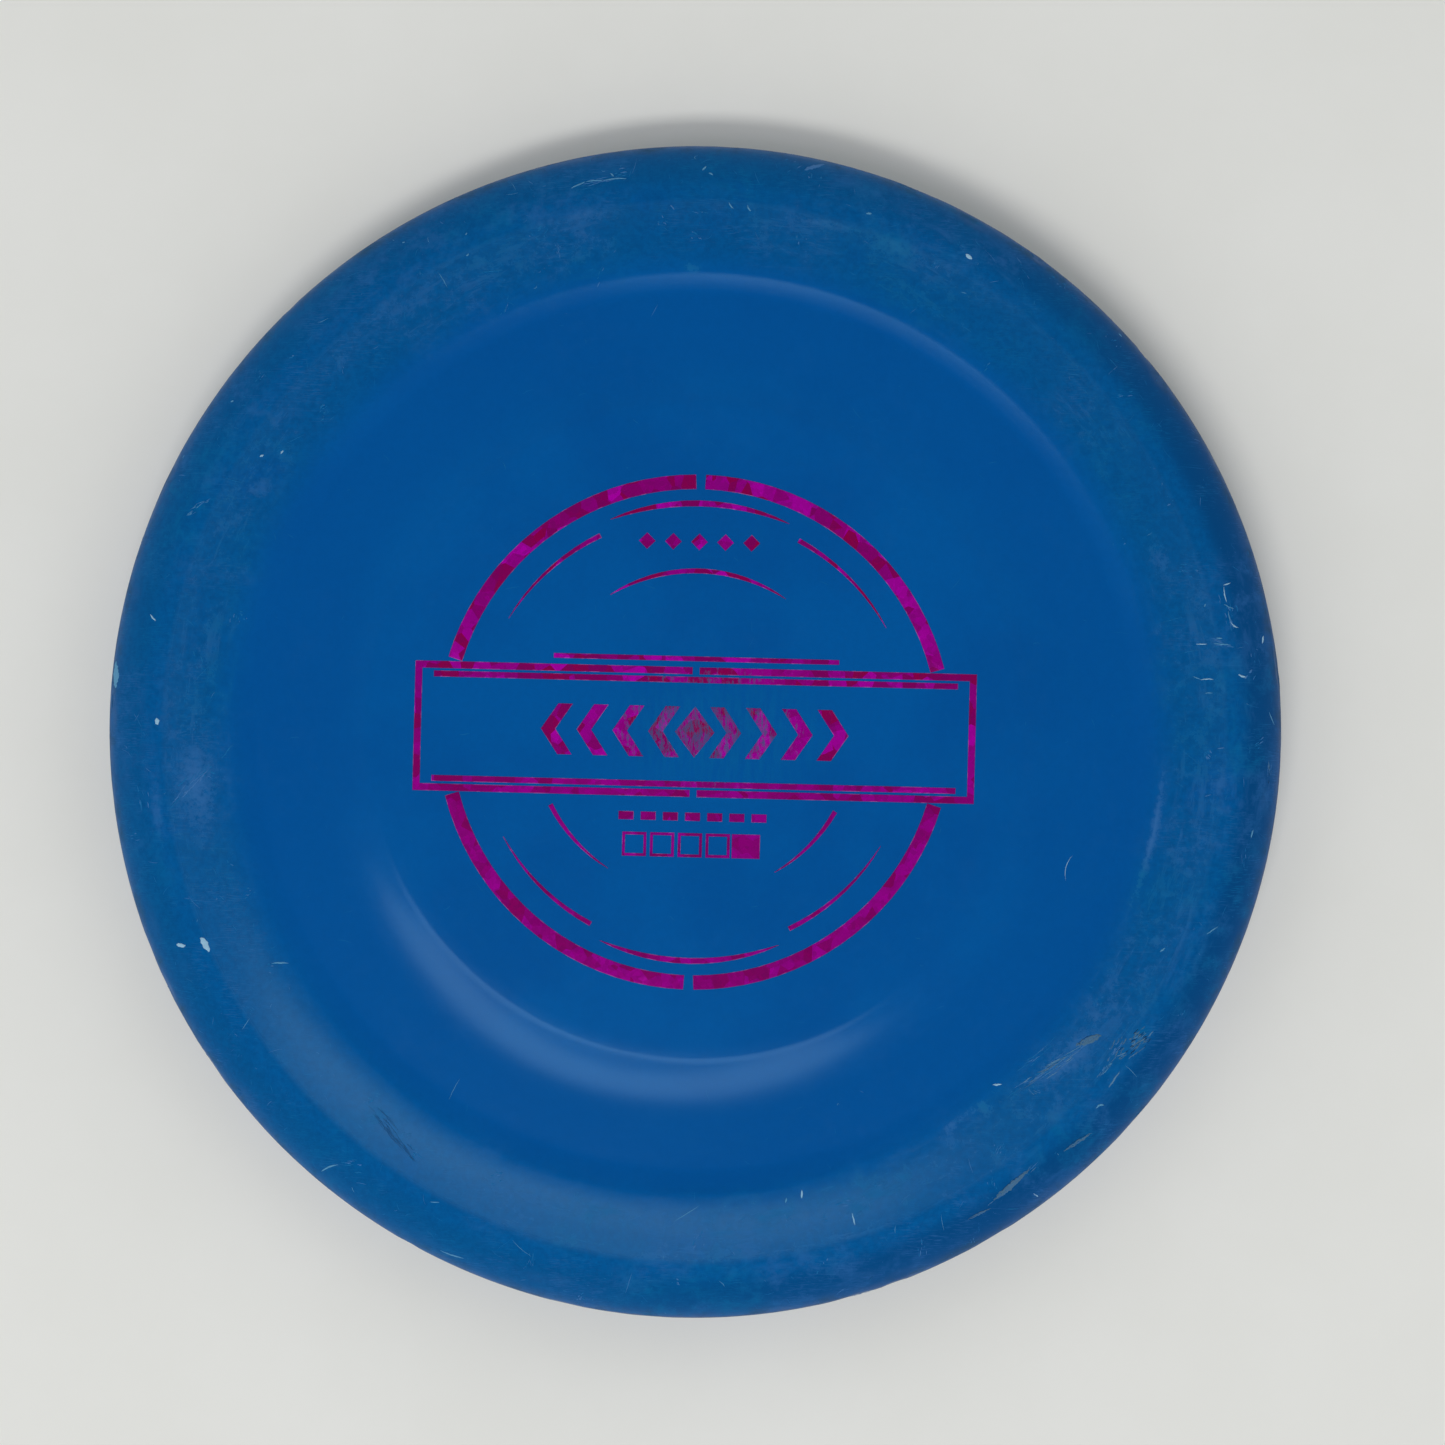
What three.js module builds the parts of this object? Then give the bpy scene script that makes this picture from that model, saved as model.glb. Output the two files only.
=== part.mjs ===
// A putter-class flying disc for disc golf: one moulded plastic body with a ring-shaped thumb
// groove in its top, and a hot-stamped foil emblem of separate patches on the flight plate.
// Millimetres, +Z up. The origin is on the disc's axis, in the plane that its rim rests on.
// The emblem reads along +X, with its upper half towards +Y.
import * as THREE from "three";

// ---- Body. r is a distance from the axis and z a height above the resting plane. ----
const CENTRE = { z: 21.0 };
const DOME = { r: 57.8, drop: 0.7 };
const GROOVE = { innerR: 68.4, outerR: 77.7, z: 19.3 };
const CREST = { r: 81.5, z: 20.3, width: 1.1, flare: 0.15 };
const SHOULDER = { r: 94.2, z: 19.2, tiltDegrees: 9.5 };
const NOSE = { r: 106.0, z: 8.8, turnReach: 4.6, turnDegrees: 15.0, roundUp: 7.6, roundDown: 3.4 };
const LAND = { innerR: 97.6, outerR: 99.4 };
const HEEL = { r: 100.4, z: 0.5, bulge: 2.4, rise: 1.2 };
const INNER_WALL = { footR: 96.6, footZ: 1.0, topR: 95.9, topZ: 12.9, lean: 0.1 };
const ROOF = { r: 93.8, z: 15.4, corner: 0.5, reach: 12.0, rise: 2.3 };
const UNDERSIDE = { z: 18.7, flatR: 30.0, reach: 30.0 };
const GATE_PAD = { r: 11.0, depth: 0.4 };
const GATE_DIMPLE = { r: 1.5, depth: 0.6 };

// ---- Foil emblem. Heights here are above the body's top surface. ----
const FOIL = { lift: 0.05, thickness: 0.1 };
const RING = { innerR: 42.8, outerR: 45.4, gap: 1.6 };
const BANNER = { length: 99.0, height: 22.9, line: 1.3, split: 1.2, clear: 0.4 };
const RULE = { line: 1.1, gap: 0.4, inset: 2.0 };
const TOP_RULE = { length: 50.3, line: 0.9, gap: 1.0 };
const OUTER_ARC = { r: 40.3, halfAngle: 23.0, line: 1.1 };
const SIDE_ARC = { r: 38.4, from: 27.0, to: 60.0, line: 0.9 };
const INNER_ARC = { r: 28.4, line: 0.9, topHalfAngle: 33.0, lowFrom: 31.0, lowTo: 62.0 };
const CHEVRON = { count: 4, length: 5.6, height: 9.0, arm: 2.6, pitch: 6.3, first: 5.4 };
const DIAMOND = { width: 7.0, height: 9.0 };
const LOZENGE = { count: 5, size: 3.0, pitch: 4.6, y: 33.5 };
const DASH = { count: 7, length: 2.7, width: 1.5, pitch: 3.9, y: -14.9 };
const SQUARE = { count: 4, size: 4.3, line: 0.55, pitch: 4.9, y: -19.9 };
const BLOCK = { length: 5.0, gap: 0.6 };
const TAPER = { tip: 0.12, power: 0.7 };

// ---- How finely round shapes are cut. ----
const LATHE_SEGMENTS = 90;
const CURVE_STEPS = 6;
const DOME_STEPS = 6;
const GROOVE_STEPS = 3;
const WALL_STEPS = 2;
const STRIP_STEP = 6.0;
const ARC_STEP_DEGREES = 4.0;

const PLASTIC = new THREE.MeshStandardMaterial({ color: 0x00549a, roughness: 0.45, metalness: 0 });
const MAGENTA_FOIL = new THREE.MeshStandardMaterial({ color: 0xa0007c, roughness: 0.3, metalness: 0.85 });

// Height of the top surface from the centre out to the crest of the groove.
function topHeight(r) {
  const domeEdge = CENTRE.z - DOME.drop;
  if (r <= DOME.r) return CENTRE.z - DOME.drop * (r / DOME.r) ** 2;
  if (r <= GROOVE.innerR) {
    const share = (GROOVE.innerR - r) / (GROOVE.innerR - DOME.r);
    return GROOVE.z + (domeEdge - GROOVE.z) * share ** 2;
  }
  if (r <= GROOVE.outerR) return GROOVE.z;
  const climb = (r - GROOVE.outerR) / (CREST.r - GROOVE.outerR);
  return GROOVE.z + (CREST.z - GROOVE.z) * ((1 - CREST.flare) * climb + CREST.flare * climb ** 2);
}

// Evenly spaced radii from one limit to another, leaving out the first.
function radiiBetween(from, to, steps) {
  return Array.from({ length: steps }, (_, i) => from + ((to - from) * (i + 1)) / steps);
}

function topPoints() {
  const radii = [
    ...radiiBetween(0, DOME.r, DOME_STEPS),
    ...radiiBetween(DOME.r, GROOVE.innerR, GROOVE_STEPS),
    ...radiiBetween(GROOVE.innerR, GROOVE.outerR, 1),
    ...radiiBetween(GROOVE.outerR, CREST.r, WALL_STEPS),
  ];
  return [new THREE.Vector2(0, CENTRE.z), ...radii.map((r) => new THREE.Vector2(r, topHeight(r)))];
}

// From the crest over the sloping shoulder, past the crease where the nose begins, round the nose
// and the foot of the rim, up its inner wall and along the underside to the gate on the axis.
function rimAndUndersidePoints() {
  const padZ = UNDERSIDE.z - GATE_PAD.depth;
  const shoulderReach = (CREST.z - SHOULDER.z) / Math.tan(THREE.MathUtils.degToRad(SHOULDER.tiltDegrees));
  const turnDrop = NOSE.turnReach * Math.tan(THREE.MathUtils.degToRad(NOSE.turnDegrees));
  const path = new THREE.Path();
  path.moveTo(CREST.r + CREST.width, CREST.z);
  path.quadraticCurveTo(SHOULDER.r - shoulderReach, CREST.z, SHOULDER.r, SHOULDER.z);
  path.bezierCurveTo(
    SHOULDER.r + NOSE.turnReach, SHOULDER.z - turnDrop,
    NOSE.r, NOSE.z + NOSE.roundUp,
    NOSE.r, NOSE.z,
  );
  path.bezierCurveTo(
    NOSE.r, NOSE.z - NOSE.roundDown,
    HEEL.r + HEEL.bulge, HEEL.z + HEEL.rise,
    HEEL.r, HEEL.z,
  );
  path.lineTo(LAND.outerR, 0);
  path.lineTo(LAND.innerR, 0);
  path.quadraticCurveTo(INNER_WALL.footR, 0, INNER_WALL.footR, INNER_WALL.footZ);
  path.lineTo(INNER_WALL.topR, INNER_WALL.topZ);
  path.quadraticCurveTo(INNER_WALL.topR - INNER_WALL.lean, ROOF.z - ROOF.corner, ROOF.r, ROOF.z);
  path.bezierCurveTo(
    ROOF.r - ROOF.reach, ROOF.z + ROOF.rise,
    UNDERSIDE.flatR + UNDERSIDE.reach, UNDERSIDE.z,
    UNDERSIDE.flatR, UNDERSIDE.z,
  );
  path.lineTo(GATE_PAD.r + GATE_PAD.depth, UNDERSIDE.z);
  path.lineTo(GATE_PAD.r, padZ);
  path.lineTo(GATE_DIMPLE.r, padZ);
  path.lineTo(0, padZ + GATE_DIMPLE.depth);
  return path.getPoints(CURVE_STEPS);
}

function bodyGeometry() {
  const outline = [...topPoints(), ...rimAndUndersidePoints()].reverse();
  return new THREE.LatheGeometry(outline, LATHE_SEGMENTS).rotateX(Math.PI / 2);
}

// Lays a flat foil shape on the body's top surface.
function drape(geometry) {
  const position = geometry.getAttribute("position");
  for (let i = 0; i < position.count; i++) {
    const surface = topHeight(Math.hypot(position.getX(i), position.getY(i)));
    position.setZ(i, position.getZ(i) + surface + FOIL.lift);
  }
  return geometry;
}

// A strip of foil with mitred corners along a list of points. widthAt gives its width at each
// point's share of the way along.
function strip(points, widthAt) {
  const count = points.length - 1;
  const heading = (i) => points[i + 1].clone().sub(points[i]).normalize();
  const side = points.map((_, i) => {
    const before = heading(Math.max(i - 1, 0));
    const after = heading(Math.min(i, count - 1));
    const mean = before.clone().add(after).normalize();
    return new THREE.Vector2(-mean.y, mean.x).divideScalar(mean.dot(after));
  });
  const box = new THREE.BoxGeometry(1, 1, FOIL.thickness, count, 1, 1);
  box.translate(0.5, 0, FOIL.thickness / 2);
  const position = box.getAttribute("position");
  for (let i = 0; i < position.count; i++) {
    const at = Math.round(position.getX(i) * count);
    const offset = position.getY(i) * widthAt(at / count);
    position.setX(i, points[at].x + side[at].x * offset);
    position.setY(i, points[at].y + side[at].y * offset);
  }
  return drape(box);
}

// A polyline through the corners, cut into steps short enough to follow the dome.
function dividedLine(corners) {
  const points = [corners[0]];
  corners.slice(1).forEach((corner, i) => {
    const steps = Math.ceil(corner.distanceTo(corners[i]) / STRIP_STEP);
    for (let s = 1; s <= steps; s++) points.push(corners[i].clone().lerp(corner, s / steps));
  });
  return points;
}

// Points on a circle about the axis. Angles are in degrees, anticlockwise from +X.
function arcPoints(r, from, to) {
  const steps = Math.ceil(Math.abs(to - from) / ARC_STEP_DEGREES);
  return Array.from({ length: steps + 1 }, (_, i) => {
    const angle = THREE.MathUtils.degToRad(from + ((to - from) * i) / steps);
    return new THREE.Vector2(r * Math.cos(angle), r * Math.sin(angle));
  });
}

const constant = (width) => () => width;
const tapered = (width, share) => TAPER.tip + (width - TAPER.tip) * Math.max(share, 0) ** TAPER.power;
const taperedBothEnds = (width) => (share) => tapered(width, Math.sin(Math.PI * share));
const taperedToEnd = (width) => (share) => tapered(width, 1 - share);

// A small flat shape, extruded to the foil's thickness and laid on the body.
function smallPatch(shape) {
  return drape(new THREE.ExtrudeGeometry(shape, { depth: FOIL.thickness, bevelEnabled: false }));
}

function polygon(corners) {
  return new THREE.Shape(corners.map(([x, y]) => new THREE.Vector2(x, y)));
}

function rectangle(x, y, width, height) {
  const [w, h] = [width / 2, height / 2];
  return polygon([[x - w, y - h], [x + w, y - h], [x + w, y + h], [x - w, y + h]]);
}

function rhombus(x, y, width, height) {
  return polygon([[x - width / 2, y], [x, y - height / 2], [x + width / 2, y], [x, y + height / 2]]);
}

function hollowSquare(x, y, size, line) {
  const shape = rectangle(x, y, size, size);
  shape.holes.push(rectangle(x, y, size - 2 * line, size - 2 * line));
  return shape;
}

// A chevron whose point is at x and which opens towards the emblem's centre. way is 1 or -1.
function chevron(x, way) {
  const [back, half] = [x - way * CHEVRON.length, CHEVRON.height / 2];
  const corners = [
    [x, 0],
    [back + way * CHEVRON.arm, half],
    [back, half],
    [x - way * CHEVRON.arm, 0],
    [back, -half],
    [back + way * CHEVRON.arm, -half],
  ];
  return polygon(way > 0 ? corners : corners.reverse());
}

// The four quarters of the main ring, which stop short of the banner and of each other.
function ringPatches() {
  const midR = (RING.innerR + RING.outerR) / 2;
  const gapAngle = THREE.MathUtils.radToDeg(RING.gap / 2 / midR);
  const bannerAngle = THREE.MathUtils.radToDeg(Math.asin((BANNER.height / 2 + BANNER.clear) / midR));
  const width = constant(RING.outerR - RING.innerR);
  const quarter = (from, to) => strip(arcPoints(midR, from, to), width);
  return {
    foil_ring_upper_right: quarter(bannerAngle, 90 - gapAngle),
    foil_ring_upper_left: quarter(90 + gapAngle, 180 - bannerAngle),
    foil_ring_lower_left: quarter(180 + bannerAngle, 270 - gapAngle),
    foil_ring_lower_right: quarter(270 + gapAngle, 360 - bannerAngle),
  };
}

// Two brackets that frame the banner, and the plain rules along its long sides.
function bannerPatches() {
  const halfLength = (BANNER.length - BANNER.line) / 2;
  const halfHeight = (BANNER.height - BANNER.line) / 2;
  const bracket = (way) => {
    const [near, far] = [BANNER.split / 2, halfLength];
    const corners = [[near, way], [far, way], [far, -way], [near, -way]];
    const placed = corners.map(([x, y]) => new THREE.Vector2(way * x, y * halfHeight));
    return strip(dividedLine(placed), constant(BANNER.line));
  };
  const rule = (y, length, line) => {
    const ends = [new THREE.Vector2(-length / 2, y), new THREE.Vector2(length / 2, y)];
    return strip(dividedLine(ends), constant(line));
  };
  const ruleLength = BANNER.length - 2 * (BANNER.line + RULE.inset);
  const ruleY = BANNER.height / 2 - BANNER.line - RULE.gap - RULE.line / 2;
  const aboveY = BANNER.height / 2 + TOP_RULE.gap + TOP_RULE.line / 2;
  return {
    foil_frame_left: bracket(-1),
    foil_frame_right: bracket(1),
    foil_rule_upper: rule(ruleY, ruleLength, RULE.line),
    foil_rule_lower: rule(-ruleY, ruleLength, RULE.line),
    foil_rule_above: rule(aboveY, TOP_RULE.length, TOP_RULE.line),
  };
}

// Thin arcs inside the ring: a pair that face each other, four that taper outwards, three inner ones.
function arcPatches() {
  const patches = {};
  for (const [half, middle] of [["upper", 90], ["lower", 270]]) {
    const outer = arcPoints(OUTER_ARC.r, middle - OUTER_ARC.halfAngle, middle + OUTER_ARC.halfAngle);
    patches[`foil_arc_${half}`] = strip(outer, taperedBothEnds(OUTER_ARC.line));
    for (const [hand, way] of [["right", half === "upper" ? -1 : 1], ["left", half === "upper" ? 1 : -1]]) {
      const points = arcPoints(SIDE_ARC.r, middle + way * SIDE_ARC.from, middle + way * SIDE_ARC.to);
      patches[`foil_arc_${half}_${hand}`] = strip(points, taperedToEnd(SIDE_ARC.line));
    }
  }
  const top = arcPoints(INNER_ARC.r, 90 - INNER_ARC.topHalfAngle, 90 + INNER_ARC.topHalfAngle);
  patches.foil_crescent_upper = strip(top, taperedBothEnds(INNER_ARC.line));
  for (const [hand, way] of [["left", -1], ["right", 1]]) {
    const points = arcPoints(INNER_ARC.r, 270 + way * INNER_ARC.lowTo, 270 + way * INNER_ARC.lowFrom);
    patches[`foil_crescent_${hand}`] = strip(points, taperedToEnd(INNER_ARC.line));
  }
  return patches;
}

// The banner's row: a diamond between chevrons that point away from it.
function chevronPatches() {
  const patches = { foil_diamond: smallPatch(rhombus(0, 0, DIAMOND.width, DIAMOND.height)) };
  for (const [hand, way] of [["left", -1], ["right", 1]]) {
    for (let i = 0; i < CHEVRON.count; i++) {
      const x = way * (CHEVRON.first + CHEVRON.pitch * i + CHEVRON.length / 2);
      patches[`foil_chevron_${hand}_${i + 1}`] = smallPatch(chevron(x, way));
    }
  }
  return patches;
}

// A centred row of equal small shapes.
function row(name, { count, pitch, y }, shapeAt) {
  const patches = {};
  for (let i = 0; i < count; i++) {
    patches[`${name}_${i + 1}`] = smallPatch(shapeAt((i - (count - 1) / 2) * pitch, y));
  }
  return patches;
}

// Four open squares and a solid block, centred together under the dashes.
function ratingPatches() {
  const shift = -(BLOCK.length + BLOCK.gap) / 2;
  const square = (x, y) => hollowSquare(x + shift, y, SQUARE.size, SQUARE.line);
  const blockX = (SQUARE.count * SQUARE.pitch) / 2 + BLOCK.length / 2 + shift;
  return {
    ...row("foil_square", SQUARE, square),
    foil_block: smallPatch(rectangle(blockX, SQUARE.y, BLOCK.length, SQUARE.size)),
  };
}

const disc = new THREE.Group();

function addMesh(name, geometry, material) {
  const mesh = new THREE.Mesh(geometry, material);
  mesh.name = name;
  disc.add(mesh);
}

const foil = {
  ...ringPatches(),
  ...bannerPatches(),
  ...arcPatches(),
  ...chevronPatches(),
  ...row("foil_lozenge", LOZENGE, (x, y) => rhombus(x, y, LOZENGE.size, LOZENGE.size)),
  ...row("foil_dash", DASH, (x, y) => rectangle(x, y, DASH.length, DASH.width)),
  ...ratingPatches(),
};

addMesh("disc_body", bodyGeometry(), PLASTIC);
Object.entries(foil).forEach(([name, geometry]) => addMesh(name, geometry, MAGENTA_FOIL));

export default disc;
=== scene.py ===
"""A worn putter-class flying disc for disc golf, lying on a pale floor and seen from above.

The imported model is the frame. The script lays a fine skin over its moulded body, redraws its foil
patches with soft edges, adds the marks of use, and sets up the materials, the light and the camera.
Lengths are in millimetres until they become mesh coordinates. Angles are in degrees, anticlockwise
from +X. The emblem reads along +X.
"""
import math
import random

import bmesh
import bpy
import numpy as np
from mathutils import Matrix, Vector


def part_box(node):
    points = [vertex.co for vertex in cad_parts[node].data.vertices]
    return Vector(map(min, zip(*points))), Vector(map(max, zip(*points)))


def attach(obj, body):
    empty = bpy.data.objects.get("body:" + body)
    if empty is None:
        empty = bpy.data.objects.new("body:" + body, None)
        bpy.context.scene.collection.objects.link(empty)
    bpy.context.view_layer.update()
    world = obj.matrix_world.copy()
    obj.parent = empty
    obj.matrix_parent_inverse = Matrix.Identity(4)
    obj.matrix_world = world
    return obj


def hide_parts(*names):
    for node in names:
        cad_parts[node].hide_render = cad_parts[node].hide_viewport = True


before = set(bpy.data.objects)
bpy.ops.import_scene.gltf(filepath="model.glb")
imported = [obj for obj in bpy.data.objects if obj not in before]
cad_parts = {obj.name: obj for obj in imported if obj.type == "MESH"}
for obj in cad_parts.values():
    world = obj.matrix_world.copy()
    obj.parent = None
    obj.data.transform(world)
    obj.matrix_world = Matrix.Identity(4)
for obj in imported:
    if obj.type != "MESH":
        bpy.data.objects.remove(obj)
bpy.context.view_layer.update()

MM = 0.001
BODY_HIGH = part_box("disc_body")[1] / MM

# ---- Outline of the moulded body: r from the axis, z above the floor ----
NOSE_R = BODY_HIGH.y
CENTRE_Z = BODY_HIGH.z
NOSE_Z = 8.8
DOME_R, DOME_DROP = 57.8, 0.7
GROOVE_INNER_R, GROOVE_OUTER_R, GROOVE_Z = 68.4, 77.7, 19.3
CREST_R, CREST_Z, CREST_WIDTH, CREST_BOW = 81.5, 20.3, 1.1, 0.15
BAND_R, BAND_Z, BAND_TILT = 94.2, 19.2, 9.5
TURN_TILT, TURN_PULL, NOSE_PULL_UP, NOSE_PULL_DOWN = 15.0, 4.6, 7.6, 3.4
HEEL_OUT, HEEL_Z, HEEL_PULL_OUT, HEEL_PULL_UP = 1.0, 0.5, 2.4, 1.2
LAND_INNER_R, LAND_OUTER_R = 97.6, 99.4
WALL_FOOT_R, WALL_FOOT_Z, WALL_TOP_R, WALL_TOP_Z = 96.6, 1.0, 95.9, 12.9
WALL_PULL_IN, WALL_PULL_BELOW_ROOF = 0.1, 0.5
ROOF_R, ROOF_Z, ROOF_PULL_IN, ROOF_PULL_UP = 93.8, 15.4, 12.0, 2.3
UNDERSIDE_Z, UNDERSIDE_FLAT_R, UNDERSIDE_PULL_R = 18.7, 30.0, 60.0
PAD_R, PAD_DEPTH, DIMPLE_R, DIMPLE_DEPTH = 11.0, 0.4, 1.5, 0.6
EDGE_SOFTNESS = 0.3

# ---- Fineness of the body's mesh: at a bend, rows stand closer, also a little before and after ----
FINE_STEP = 0.1
CURVE_POINTS = 200
BEND_PER_ROW = math.radians(6.0)
BEND_REACH = 0.8
SEGMENTS = 540

# ---- Foil, as heights above the plate. Its CAD nodes stand from 0.05 to 0.15 above it ----
FOIL_NODES = sorted(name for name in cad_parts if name.startswith("foil_"))
FOIL_NODE_MIDDLE = 0.1
FOIL_TOP, FOIL_BOTTOM = 0.05, -0.04
FOIL_EDGE = 0.16
SHARP_CORNER = math.radians(46)
WELD_DISTANCE = 0.0005

# ---- Unevenness of the moulding ----
WAVES, WAVE_TURNS, WAVE_LENGTHS, WAVE_HEIGHTS = 14, (2, 16), (14, 60), (0.002, 0.007)
WAVY_FROM_R, WAVY_FULL_R = 5, 40

# ---- Use and wear ----
SEED = 11
DENTS, DENT_OFF_NOSE, DENT_SPREAD = 150, -1.0, 4.5
DENT_HALF_LENGTHS, DENT_HALF_WIDTHS = (0.9, 3.2), (0.7, 1.6)
DENT_LEAST_DEPTH, DENT_EXTRA_DEPTH, DENT_WORN_DEPTH = 0.04, 0.16, 0.12
LIP_PLACE, LIP_WIDTH, LIP_SHARE = 1.7, 0.5, 0.25
FAINT_LENGTH, FAINT_HEIGHT = 0.4, 0.012
STRAY_MARKS, STRAY_SPREAD, STRAY_BELOW_NOSE = 900, 15, 3
STRAY_LENGTH_RATE, STRAY_LONGEST, STRAY_WIDTHS, STRAY_BEND = 1 / 0.8, 4.5, (0.07, 0.24), 0.12
GROUPS, GROUP_PLACES, GROUP_SIZES = 70, (6, 30), (4, 9)
GROUP_LENGTHS, GROUP_WIDTHS = (1.5, 4.0), (1.0, 3.0)
PLATE_MARKS, PLATE_MARKS_R, PLATE_MARKS_LEAST_AREA = 110, 78, 0.02
PLATE_LENGTH_RATE, PLATE_WIDTHS, PLATE_BEND = 1.2, (0.07, 0.2), 0.1

# ---- Camera over the disc, turned a little so that the emblem leans clockwise. The offset is in the
# frame's own directions, to the right and up ----
CAMERA_HEIGHT = 400.0
CAMERA_OFFSET = Vector((4.9, 1.7))
CAMERA_TURN = 1.45
FRAME_WIDTH = 262.4
SENSOR_WIDTH = 36.0

# ---- Studio: the sky's strength by how far up it is, and the colour of the mirrored softboxes ----
SKY_FADE = {"From Min": 0.60, "From Max": 0.90, "To Min": 0.79, "To Max": 0.07}
SKY_COLOUR = (0.97, 1.0, 0.99, 1)
SOFTBOX_COLOUR, FILL_COLOUR = (1.0, 0.96, 1.18), (1.0, 1.0, 1.0)

rng = random.Random(SEED)


# ---------------------------------------------------------------- outline of the body

def top_height(r):
    """Height of the top surface from the centre out to the crest of the groove."""
    dome_edge = CENTRE_Z - DOME_DROP
    dome = CENTRE_Z - DOME_DROP * (r / DOME_R) ** 2
    fall = (GROOVE_INNER_R - r) / (GROOVE_INNER_R - DOME_R)
    inner = GROOVE_Z + (dome_edge - GROOVE_Z) * fall ** 2
    climb = (r - GROOVE_OUTER_R) / (CREST_R - GROOVE_OUTER_R)
    outer = GROOVE_Z + (CREST_Z - GROOVE_Z) * ((1 - CREST_BOW) * climb + CREST_BOW * climb ** 2)
    zones = [r <= DOME_R, r <= GROOVE_INNER_R, r <= GROOVE_OUTER_R]
    return np.select(zones, [dome, inner, GROOVE_Z], outer)


def on_top(first_r, last_r):
    """Closely spaced points of the top surface between two radii."""
    r = np.linspace(first_r, last_r, max(2, round((last_r - first_r) / FINE_STEP)))
    return np.column_stack([r, top_height(r)])


def curve(*controls):
    """Closely spaced points on the line or Bezier curve with these control points."""
    t = np.linspace(0, 1, CURVE_POINTS)[:, None]
    points = [np.array(c, float) * np.ones_like(t) for c in controls]
    while len(points) > 1:
        points = [a * (1 - t) + b * t for a, b in zip(points, points[1:])]
    return points[0]


def outline_stretches():
    """The outline from the top's centre round to the underside's, each stretch with its row spacing."""
    band_start = (CREST_R + CREST_WIDTH, CREST_Z)
    band_end = (BAND_R, BAND_Z)
    band_middle = (BAND_R - (CREST_Z - BAND_Z) / math.tan(math.radians(BAND_TILT)), CREST_Z)
    turn = (BAND_R + TURN_PULL, BAND_Z - TURN_PULL * math.tan(math.radians(TURN_TILT)))
    nose = (NOSE_R, NOSE_Z)
    heel = (LAND_OUTER_R + HEEL_OUT, HEEL_Z)
    heel_pull = (heel[0] + HEEL_PULL_OUT, heel[1] + HEEL_PULL_UP)
    wall_foot, wall_top = (WALL_FOOT_R, WALL_FOOT_Z), (WALL_TOP_R, WALL_TOP_Z)
    wall_pull = (WALL_TOP_R - WALL_PULL_IN, ROOF_Z - WALL_PULL_BELOW_ROOF)
    roof = (ROOF_R, ROOF_Z)
    roof_pull = (ROOF_R - ROOF_PULL_IN, ROOF_Z + ROOF_PULL_UP)
    flat_start = (UNDERSIDE_FLAT_R, UNDERSIDE_Z)
    pad_start = (PAD_R + PAD_DEPTH, UNDERSIDE_Z)
    pad_z = UNDERSIDE_Z - PAD_DEPTH
    return [
        (on_top(0, DOME_R), 4.0),
        (on_top(DOME_R, GROOVE_INNER_R), 1.3),
        (on_top(GROOVE_INNER_R, GROOVE_OUTER_R), 1.8),
        (on_top(GROOVE_OUTER_R, CREST_R), 1.0),
        (curve((CREST_R, CREST_Z), band_start), 0.8),
        (curve(band_start, band_middle, band_end), 1.0),
        (curve(band_end, turn, (NOSE_R, NOSE_Z + NOSE_PULL_UP), nose), 0.9),
        (curve(nose, (NOSE_R, NOSE_Z - NOSE_PULL_DOWN), heel_pull, heel), 1.0),
        (curve(heel, (LAND_OUTER_R, 0)), 1.0),
        (curve((LAND_OUTER_R, 0), (LAND_INNER_R, 0)), 1.0),
        (curve((LAND_INNER_R, 0), (WALL_FOOT_R, 0), wall_foot), 1.0),
        (curve(wall_foot, wall_top), 2.0),
        (curve(wall_top, wall_pull, roof), 1.0),
        (curve(roof, roof_pull, (UNDERSIDE_PULL_R, UNDERSIDE_Z), flat_start), 3.6),
        (curve(flat_start, pad_start), 5.0),
        (curve(pad_start, (PAD_R, pad_z)), 0.6),
        (curve((PAD_R, pad_z), (DIMPLE_R, pad_z)), 3.0),
        (curve((DIMPLE_R, pad_z), (0, pad_z + DIMPLE_DEPTH)), 0.8),
    ]


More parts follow.
